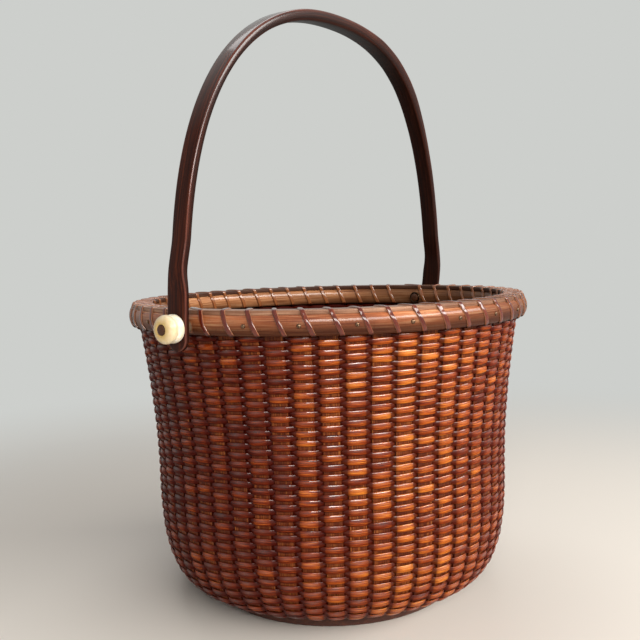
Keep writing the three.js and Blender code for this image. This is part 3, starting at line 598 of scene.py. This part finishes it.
gap_turns = [first_gap + number * stave_pitch for number in range(stave_count)]
gap_turns = sorted(((turn - lash_start) % 360 + lash_start for turn in gap_turns
                    if from_pins(turn) > lash_past_pin), reverse=True)
lash_up = [(mouth_radius, hoop_bottom - 0.1), (outer_seat + outer_flat - 0.4, hoop_bottom - 0.15)] + [
    (outer_seat + outer_flat + (outer_depth - outer_flat + lash_gap) * math.cos(bow),
     hoop_middle + (hoop_height / 2 + lash_gap) * math.sin(bow))
    for bow in np.linspace(-1.35, 0.95, 10)] + [
    (cap_outer + lash_gap + 0.05, cap_top - 0.45), (cap_outer - 0.5, cap_top + lash_gap)]
lash_down = [(cap_inner + 0.35, cap_top + lash_gap), (cap_inner - lash_gap, cap_top - 0.5)] + [
    (inner_seat - inner_flat - (inner_depth - inner_flat + lash_gap) * math.cos(bow),
     hoop_middle + (hoop_height / 2 + lash_gap) * math.sin(bow))
    for bow in np.linspace(0.8, -1.35, 9)] + [
    (inner_seat - inner_flat + 0.4, hoop_bottom - 0.15)]
lash_path = np.array(lash_up + lash_down)
lash_outside = np.arange(len(lash_path)) < len(lash_up)
climb = np.clip((lash_path[:, 1] - hoop_bottom) / (cap_top - hoop_bottom), 0, 1)
lash_knots = []
for turn, following in zip(gap_turns, gap_turns[1:] + [gap_turns[0] - 360]):
    turns = np.where(lash_outside, turn - lash_lean * climb, following + lash_lean * climb)
    lash_knots.append(np.column_stack([lash_path, turns]))
lash_knots = np.concatenate(lash_knots + [[(mouth_radius, hoop_bottom - lash_gap, gap_turns[0] - 360)]])
for _ in range(2):
    near = lash_knots[:-1] * 0.75 + lash_knots[1:] * 0.25
    far = lash_knots[:-1] * 0.25 + lash_knots[1:] * 0.75
    lash_knots = np.stack([near, far], 1).reshape(-1, 3)
lash_line = round_basket(np.radians(lash_knots[:, 2]), lash_knots[:, 0], lash_knots[:, 1])
lash_way = np.gradient(lash_knots[:, :2], axis=0)
lash_out = round_basket(np.radians(lash_knots[:, 2]), lash_way[:, 1], -lash_way[:, 0])
lash_side, lash_face = squared(np.gradient(lash_line, axis=0), lash_out)
lash_section = np.array([(-1, -.8), (-1, -.1), (-.84, .6), (-.6, .88), (-.3, .97), (.3, .97), (.6, .88),
                         (.84, .6), (1, -.1), (1, -.8)])
chance = np.random.default_rng(23)
lash_spread = 1 + np.interp(np.arange(len(lash_line)) / lash_wander, np.arange(200),
                            chance.normal(0, 0.06, 200))
lash_points = (
    lash_line[:, None]
    + lash_side[:, None] * (lash_section[:, 0, None] * (lash_spread * lash_width / 2)[:, None, None])
    + lash_face[:, None] * (lash_section[:, 1, None] * lash_depth / 2))
lash_length = np.concatenate([[0], np.cumsum(np.linalg.norm(np.diff(lash_line, axis=0), axis=1))])
lash_grain = np.stack(np.broadcast_arrays(
    lash_length[:, None], lash_section[:, 0] * lash_width, lash_section[:, 1]), -1)

lash_finish, surface = new_finish("red_brown_lashing_cane", 0.45, 0.9, 0.13, 1.6, shine=0.05)
lash_fibres = grain_pattern(lash_finish, (0.1, 3.5, 1.0), 3.0)
lash_edge_highlight, lash_clear_of_shade = mark_on(lash_finish, "edge"), mark_on(lash_finish, "showing")
lash_colour = wear(lash_finish, lash_fibres, [
    (0.32, paint(56, 12, 5)), (0.52, paint(92, 28, 12)), (0.7, paint(140, 64, 32))])
# Painted highlight: the rounded edges of the strip are painted pale cream.
lash_colour = blend_paint(lash_finish, wear(lash_finish, lash_edge_highlight, [(0.8, 0.0), (1.0, 0.5)]),
                          lash_colour, paint(186, 132, 92))
# Painted highlight: where the strip runs down inside the rim, its face is painted lighter tan.
lash_colour = blend_paint(lash_finish, mark_on(lash_finish, "inside"), lash_colour, paint(196, 132, 80))
# Painted shade: where the strip passes under the hoops it is painted nearly black, and its varnish left off.
lash_colour = blend_paint(lash_finish, lash_clear_of_shade, paint(30, 10, 5), lash_colour)
drive(lash_finish, surface, "Base Color", lash_colour)
drive(lash_finish, surface, "Coat Weight", calculate(lash_finish, "MULTIPLY", lash_clear_of_shade, 0.9))
roughen(lash_finish, surface, 0.3, 0.5, lash_fibres)
emboss(lash_finish, surface, 0.05, lash_fibres, 0.004)

lashing = make_piece(
    "lashing", lash_points.reshape(-1, 3), strip_faces(len(lash_line), len(lash_section)),
    lash_grain.reshape(-1, 3), lash_finish, "lash_cane", crease=60,
    edge=np.tile(np.abs(lash_section[:, 0]), len(lash_line)),
    inside=0.4 * (lash_knots[:, 0] < cap_inner)[:, None] * (np.abs(lash_section[:, 0]) < 0.8),
    showing=np.repeat(np.clip((lash_knots[:, 1] - hoop_bottom) / 0.8, 0, 1), len(lash_section)))
lay_out(lashing, len(lash_line), len(lash_section), 24)
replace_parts(lashing, "rim_lashing")


# Rim nails. Small brass nails with domed heads, one through every second stave, driven in from outside
# and filed off inside the inner hoop. The heads have dulled, and are darker round their rims.
nail_head, nail_edge, nail_rise, nail_shank, nail_length = 0.95, 0.12, 0.55, 0.5, 5.0
nail_seat, nail_sunk, nail_past_pin, nail_steps = 104.0, 0.05, 14.0, 20
nail_finish, surface = new_finish("dulled_brass", 0.3, 0.0)
surface.inputs["Metallic"].default_value = 1.0
nail_spots = grain_pattern(nail_finish, (2.0, 2.0, 2.0), 3.0)
nail_colour = wear(nail_finish, nail_spots, [
    (0.35, paint(60, 42, 32)), (0.5, paint(112, 86, 66)), (0.66, paint(166, 138, 112))])
nail_colour = blend_paint(nail_finish, mark_on(nail_finish, "grime"), nail_colour, paint(26, 13, 8))
drive(nail_finish, surface, "Base Color", nail_colour)
roughen(nail_finish, surface, 0.18, 0.42, nail_spots)


def stand_out(points, turn, seat, height):
    """Points made along +Z from zero, turned to stand out from the basket's side."""
    turn = math.radians(turn)
    x, y, z = points[..., 0], points[..., 1], points[..., 2] + seat
    return np.stack([z * math.cos(turn) - y * math.sin(turn),
                     z * math.sin(turn) + y * math.cos(turn), height - x], -1)


nail_dome = np.linspace(0, math.pi / 2, 7)[:-1]
nail_section = np.array([(nail_shank, -nail_length), (nail_shank, 0.1), (nail_head, 0.0)] + [
    (nail_head * math.cos(arc), nail_edge + nail_rise * math.sin(arc)) for arc in nail_dome] + [
    (0.06, nail_edge + nail_rise)])
nail_shape = turned(nail_section, nail_steps)
nail_faces = turned_faces(nail_steps, len(nail_section))
nail_faces.append([line * len(nail_section) - 1 for line in range(1, nail_steps + 1)])
nails = 0
for number in range(0, stave_count, 2):
    turn = first_gap + (number + 0.5) * stave_pitch
    if math.radians(from_pins(turn)) * nail_seat < nail_past_pin:
        continue
    nails += 1
    nail_points = stand_out(nail_shape, turn, nail_seat - nail_sunk, hoop_middle).reshape(-1, 3)
    nail = make_piece(
        f"brass_nail_{nails:02d}", nail_points, nail_faces, nail_shape.reshape(-1, 3) + number * 3,
        nail_finish, "nail_brass", grime=np.tile((nail_section[:, 1] < 0.3) * 0.9, nail_steps))
    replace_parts(nail, f"rim_nail_{nails:02d}")


# Handle. One strip of hardwood, steamed and bent into a tall round arch. Its edges are shaved round, and
# its two ends are thinned, left wider, rounded off and drilled for the pins. It is stained nearly black,
# with red-brown showing through where hands have rubbed its edges.
handle_reach, handle_width, handle_crown_width, handle_thickness, handle_edge = 149.2, 8.8, 9.8, 3.6, 0.8
shoulder, rise_power, handle_lean = 0.881, 0.728, 2.7
ear_face, ear_width, ear_thickness, ear_drop, ear_top, ear_blend = 108.4, 11.6, 2.6, 10.4, 14.0, 14.0
kick, kick_foot, kick_rise = 1.8, 22.0, 18.0
crown_half, shine_start, shine_rise = 40.0, 84.0, 26.0


def half_span(height):
    """Inner face of a leg at a height above the pins, with the kick that sets its foot outwards."""
    sine = (np.clip(height, 0, handle_reach) / handle_reach) ** (1 / rise_power)
    low = np.clip((height - kick_foot) / kick_rise, 0, 1)
    return (ear_face - kick) * (1 - sine ** 2) ** (shoulder / 2) + kick * (1 - low ** 2 * (3 - 2 * low))


ear_end = ear_width / 2
tip_turn = np.radians(np.arange(84, -1, -12))
leg_heights = np.concatenate([
    ear_end - ear_drop - ear_end * np.sin(tip_turn), np.linspace(0, kick_foot + kick_rise, 32)])
arch_start = math.asin(((kick_foot + kick_rise) / handle_reach) ** (1 / rise_power))
arch_turn = np.linspace(arch_start, math.pi - arch_start, 150)[1:-1]
handle_x = np.concatenate([
    -half_span(leg_heights),
    -np.sign(np.cos(arch_turn)) * (ear_face - kick) * np.abs(np.cos(arch_turn)) ** shoulder,
    half_span(leg_heights)[::-1]])
handle_z = np.concatenate([leg_heights, handle_reach * np.sin(arch_turn) ** rise_power,
                           leg_heights[::-1]])
handle_along = np.gradient(np.stack([handle_x, handle_z], 1), axis=0)
handle_along /= np.linalg.norm(handle_along, axis=1, keepdims=True)
handle_out = np.stack([-handle_along[:, 1], handle_along[:, 0]], 1)
spread = np.clip((handle_z - ear_top) / ear_blend, 0, 1)
spread = spread ** 2 * (3 - 2 * spread)
far_side = np.clip(handle_x / crown_half, -1, 1) / 2 + 0.5
near_swell = np.interp(handle_z, [90, 105, 120, 128, 136, 149], [0, .2, .5, .8, 1.15, 2.1])
far_swell = np.interp(handle_z, [40, 60, 78, 98, 108, 117, 125, 135, 143, 149],
                      [0, .2, .6, 1.1, 1.1, .7, .3, .4, 1.2, 2.1])
inner_swell = (1 - far_side) * near_swell + far_side * far_swell
outer_swell = far_side * np.interp(handle_z, [88, 98, 108, 117, 125, 135, 142, 146, 149],
                                   [0, .3, 1.0, 2.0, 2.4, 2.4, 1.8, .9, .2])
sway = -far_side * np.interp(handle_z, [2, 10, 20, 28, 38, 48, 58, 70, 85],
                             [0, 1, 1.7, 1.6, 1.3, .9, .5, .2, 0])
below = np.clip(ear_end - ear_drop - handle_z, 0, ear_end)
plain = handle_width + (handle_crown_width - handle_width) * np.maximum(
    np.clip(handle_z, 0, None) / handle_reach, 0.9 * far_side)
wide = np.minimum(ear_width + (plain - ear_width) * spread, 2 * np.sqrt(ear_end ** 2 - below ** 2))
thick = ear_thickness + (handle_thickness - ear_thickness) * spread + inner_swell + outer_swell
rounding = np.minimum(handle_edge * (1 + 0.35 * inner_swell), np.minimum(wide, thick) / 3)
handle_rings, handle_arris, handle_place, handle_polish = [], [], [], []
shoulder_shine = np.clip((handle_z - shine_start) / shine_rise, 0, 1) * (1 - 0.8 * far_side)
for corner_out, corner_side, first_turn in ((0, -1, 180), (0, 1, 90), (1, 1, 0), (1, -1, -90)):
    for swing_round in (0, 30, 60, 90):
        bend_round = math.radians(first_turn + 90 - swing_round)
        out = (corner_out * thick - inner_swell + (0.5 - corner_out) * 2 * rounding
               + rounding * math.cos(bend_round))
        side = corner_side * (wide / 2 - rounding) + rounding * math.sin(bend_round) + sway
        handle_rings.append(np.stack([handle_x + handle_out[:, 0] * out, side,
                                      handle_z + handle_out[:, 1] * out], -1))
        on_arris = swing_round in (30, 60)
        handle_arris.append(np.full(len(handle_x), 1.0 if on_arris else 0.55))
        handle_polish.append(corner_out * np.maximum(0.8 * on_arris, 0.06 + 0.74 * shoulder_shine))
        handle_place.append(np.stack([out, side], -1))
handle_points = np.stack(handle_rings, 1)
corners = handle_points.shape[1]
handle_length = np.concatenate([[0], np.cumsum(np.hypot(np.diff(handle_x), np.diff(handle_z)))])
handle_grain = np.concatenate([
    np.broadcast_to(handle_length[:, None, None], (len(handle_x), corners, 1)),
    np.stack(handle_place, 1)[:, :, ::-1]], -1)

handle_finish, surface = new_finish("dark_bent_handle_wood", 0.5, 0.6, 0.15, shine=0.1)
handle_streaks = grain_pattern(handle_finish, (0.03, 1.1, 1.6), 6.0, 0.65)
handle_rubs = grain_pattern(handle_finish, (0.045, 0.1, 0.1), 3.0)
handle_colour = wear(handle_finish, handle_streaks, [
    (0.32, paint(28, 9, 5)), (0.5, paint(50, 18, 9)), (0.7, paint(88, 40, 22))])
rubbed = calculate(
    handle_finish, "MULTIPLY", wear(handle_finish, handle_rubs, [(0.35, 0.25), (0.65, 0.9)]),
    wear(handle_finish, mark_on(handle_finish, "arris"), [(0.55, 0.0), (1.0, 0.6)]))
handle_colour = blend_paint(handle_finish, rubbed, handle_colour, paint(112, 50, 30))
# Painted shade: the inner face of the arch is painted nearly black.
handle_colour = blend_paint(
    handle_finish, mark_on(handle_finish, "inward"), handle_colour, paint(18, 7, 4))
drive(handle_finish, surface, "Base Color", handle_colour)
drive(handle_finish, surface, "Coat Weight", mark_on(handle_finish, "polish"))
roughen(handle_finish, surface, 0.32, 0.58, handle_streaks)
emboss(handle_finish, surface, 0.12, handle_streaks, 0.003)

lean = math.radians(handle_lean)
handle_points = np.stack([
    handle_points[..., 0],
    handle_points[..., 1] * math.cos(lean) - handle_points[..., 2] * math.sin(lean),
    handle_points[..., 1] * math.sin(lean) + handle_points[..., 2] * math.cos(lean) + pin_height], -1)
bent_handle = make_piece(
    "bent_handle", handle_points.reshape(-1, 3), strip_faces(len(handle_x), corners),
    handle_grain.reshape(-1, 3), handle_finish, "handle_wood", body="handle", crease=50,
    arris=np.stack(handle_arris, 1), polish=np.stack(handle_polish, 1),
    inward=np.tile(np.repeat([0.7, 0.0], corners // 2), len(handle_x)))
lay_out(bent_handle, len(handle_x), corners, 6)
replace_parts(bent_handle, "handle")


# Handle pins, knobs and washers. Each ear turns on a dark wooden pin, between a small bone washer against
# the hoop and a wide one outside it. A turned bone knob holds them on, and inside the basket the pin is
# stopped by a small brass burr.
pin_radius, pin_start, pin_length, pin_foot, pin_dome, pin_steps = 2.3, 90.4, 30.0, 0.35, 0.5, 32
bore_radius, bore_edge, ring_steps = pin_radius + 0.12, 0.35, 48
bone_finish, surface = new_finish("aged_bone", 0.36, 0.4, 0.18)
surface.inputs["Subsurface Weight"].default_value = 0.12
surface.inputs["Subsurface Radius"].default_value = (0.9, 0.6, 0.35)
surface.inputs["Subsurface Scale"].default_value = 0.002
bone_clouds = grain_pattern(bone_finish, (0.35, 0.35, 0.35), 3.0)
bone_pores = grain_pattern(bone_finish, (1.0, 6.0, 6.0), 2.0)
bone_colour = wear(bone_finish, bone_clouds, [(0.35, paint(230, 216, 182)), (0.65, paint(246, 240, 224))])
bone_colour = blend_paint(bone_finish, mark_on(bone_finish, "age"), bone_colour, paint(208, 172, 100))
bone_colour = blend_paint(bone_finish, wear(bone_finish, bone_pores, [(0.62, 0.0), (0.75, 0.35)]),
                          bone_colour, paint(160, 120, 76))
# The darkening share paints the under washer darker, as painted shade between the ear and the hoop.
bone_colour = blend_paint(bone_finish, mark_on(bone_finish, "grime"), bone_colour, paint(84, 56, 38))
drive(bone_finish, surface, "Base Color", bone_colour)
roughen(bone_finish, surface, 0.26, 0.46, bone_clouds)
emboss(bone_finish, surface, 0.03, bone_pores)

pin_finish, surface = new_finish("dark_pin_wood", 0.45, 0.3, 0.25)
pin_streaks = grain_pattern(pin_finish, (3.0, 3.0, 0.2), 4.0)
pin_colour = wear(pin_finish, pin_streaks, [
    (0.34, paint(40, 20, 10)), (0.5, paint(66, 34, 17)), (0.66, paint(100, 58, 30))])
drive(pin_finish, surface, "Base Color", pin_colour)
roughen(pin_finish, surface, 0.36, 0.6, pin_streaks)
emboss(pin_finish, surface, 0.08, pin_streaks)


def turned_ring(name, turn, seat, thickness, radius, back, face, widest, finish, slot, age, grime):
    """A ring turned on a lathe, with a rounded rim, a flat back and face, and a bore for the pin.

    It is widest at a share of its thickness, and yellow and darker by shares too.
    """
    arc = np.linspace(-math.pi / 2, math.pi / 2, 25)
    end = np.where(arc < 0, back, face)
    room = np.where(arc < 0, widest, 1 - widest)
    section = np.concatenate([
        [(bore_radius, bore_edge)],
        np.stack([end + (radius - end) * np.cos(arc), thickness * (widest + room * np.sin(arc))], 1),
        [(pin_radius + 0.45, thickness), (bore_radius, thickness - bore_edge)]])
    corners = len(section)
    shape = turned(section, ring_steps)
    ageing = (0.4 + 0.6 * np.clip(1 - (section[:, 0] - pin_radius) / (radius - pin_radius), 0, 1)) * age
    faces = turned_faces(ring_steps, corners)
    for line in range(ring_steps):
        here, after = line * corners, (line + 1) % ring_steps * corners
        faces.append([here + corners - 1, after + corners - 1, after, here])
    return make_piece(name, stand_out(shape, turn, seat, pin_height).reshape(-1, 3), faces,
                      shape.reshape(-1, 3) + turn, finish, slot, crease=50,
                      age=np.tile(ageing, ring_steps), grime=np.full(ring_steps * corners, grime))


# Painted shade: the last number darkens the under washer, which sits between the ear and the hoop.
ring_parts = (
    ("bone_under_washer", "under_washer", 104.25, 3.9, 3.0, 2.8, 2.8, 0.5, bone_finish, "bone", 0.9, 0.92),
    ("bone_outer_washer", "outer_washer", 111.2, 4.1, 6.4, 5.2, 5.4, 0.5, bone_finish, "bone", 0.0, 0.0),
    ("bone_knob", "knob", 115.4, 4.6, 6.4, 5.4, 3.1, 0.38, bone_finish, "bone", 1.0, 0.0),
    ("brass_burr", "burr", 91.2, 0.9, 3.4, 3.1, 2.9, 0.5, nail_finish, "nail_brass", 0.0, 0.75))
pin_arc = np.linspace(0, math.pi / 2, 6)[1:-1]
pin_shape = turned(np.concatenate([
    [(0.05, 0)], np.stack([pin_radius * np.sin(pin_arc), pin_foot * (1 - np.cos(pin_arc))], 1),
    [(pin_radius, 0.4), (pin_radius, pin_length - pin_dome)],
    np.stack([pin_radius * np.cos(pin_arc), pin_length - pin_dome + pin_dome * np.sin(pin_arc)], 1),
    [(0.05, pin_length)]]), pin_steps)
for hand, turn in (("left", 180.0), ("right", 0.0)):
    for ring, solid, *sizes in ring_parts:
        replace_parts(turned_ring(f"{hand}_{ring}", turn, *sizes), f"{hand}_{solid}")
    pin = make_piece(f"{hand}_wooden_pin", stand_out(pin_shape, turn, pin_start, pin_height).reshape(-1, 3),
                     turned_faces(pin_steps, pin_shape.shape[1]), pin_shape.reshape(-1, 3), pin_finish,
                     "pin_wood")
    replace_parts(pin, f"{hand}_pin")


# Studio. A plain pale floor that fades into the backdrop, four soft panes side by side from the camera
# round to its right, as in a long window, a weak one high up behind, so that neither the back nor the
# inside is black, and the camera where the photograph was taken from.
floor_fade_start, floor_fade_end, floor_radius, floor_drop = 0.2, 0.68, 4.0, 0.0002
backdrop_paint, camera_turn, lamp_aim = paint(205, 207, 204), 216.7, 0.1


def looked_at(finish):
    """1 where the camera, a reflection or a clear surface looks at the backdrop, and 0 for its light."""
    sight = add(finish, "LightPath")
    return calculate(finish, "MAXIMUM", sight.outputs["Is Camera Ray"],
                     calculate(finish, "MAXIMUM", sight.outputs["Is Glossy Ray"],
                               sight.outputs["Is Transmission Ray"]))


floor_finish, surface = new_finish("pale_floor", 0.9, 0.0, shine=0.1)
surface.inputs["Base Color"].default_value = paint(228, 222, 213)
far = add(floor_finish, "VectorMath", {
    0: add(floor_finish, "NewGeometry").outputs["Position"]}, operation="LENGTH").outputs["Value"]
fade = add(floor_finish, "MapRange", {
    "Value": far, "From Min": floor_fade_start, "From Max": floor_fade_end},
    interpolation_type="SMOOTHSTEP").outputs[0]
glow = add(floor_finish, "Emission", {"Color": backdrop_paint, "Strength": 1.0})
mixed = add(floor_finish, "MixShader", {
    0: calculate(floor_finish, "MULTIPLY", fade, looked_at(floor_finish)),
    1: surface.outputs[0], 2: glow.outputs[0]})
floor_finish.node_tree.links.new(
    mixed.outputs[0], floor_finish.node_tree.nodes["Material Output"].inputs["Surface"])
bpy.ops.mesh.primitive_circle_add(
    vertices=96, radius=floor_radius, fill_type="NGON", location=(0, 0, -floor_drop))
floor = bpy.context.object
floor.name = "floor"
floor.data.materials.append(floor_finish)

world = bpy.data.worlds.new("studio")
bpy.context.scene.world = world
world.use_nodes = True
air = world.node_tree.nodes["Background"]
air.inputs["Strength"].default_value = 1.0
sky_colour = blend_paint(world, looked_at(world), (0.12, 0.122, 0.128, 1), backdrop_paint)
world.node_tree.links.new(sky_colour, air.inputs["Color"])


def soft_light(name, turn, height, distance, wide, tall, power, colour):
    """A broad lamp that faces the basket. Its turn counts to the right from the camera's own side."""
    towards = math.radians(camera_turn + turn)
    lamp = bpy.data.lights.new(name, "AREA")
    lamp.shape, lamp.size, lamp.size_y, lamp.energy, lamp.color = "RECTANGLE", wide, tall, power, colour
    holder = bpy.data.objects.new(name, lamp)
    holder.location = (distance * math.cos(towards), distance * math.sin(towards), height)
    holder.rotation_euler = (math.atan2(distance, height - lamp_aim), 0, towards + math.pi / 2)
    bpy.context.scene.collection.objects.link(holder)


for pane, turn in enumerate((2, 29, 56, 83)):
    soft_light(f"window_pane_{pane + 1}", turn, 0.61, 1.15, 0.56, 0.26, 6.4, (1.0, 0.97, 0.93))
soft_light("fill_pane", 190, 1.3, 0.45, 0.9, 0.6, 5.0, (1.0, 1.0, 1.0))

lens = bpy.data.cameras.new("camera")
lens.lens, lens.sensor_width = 47.81, 36
camera = bpy.data.objects.new("camera", lens)
camera.location = (-0.36713, -0.27305, 0.18260)
camera.rotation_euler = [math.radians(turn) for turn in (84.950, 1.684, -52.975)]
bpy.context.scene.collection.objects.link(camera)
bpy.context.scene.camera = camera
bpy.context.scene.view_settings.view_transform = "Standard"
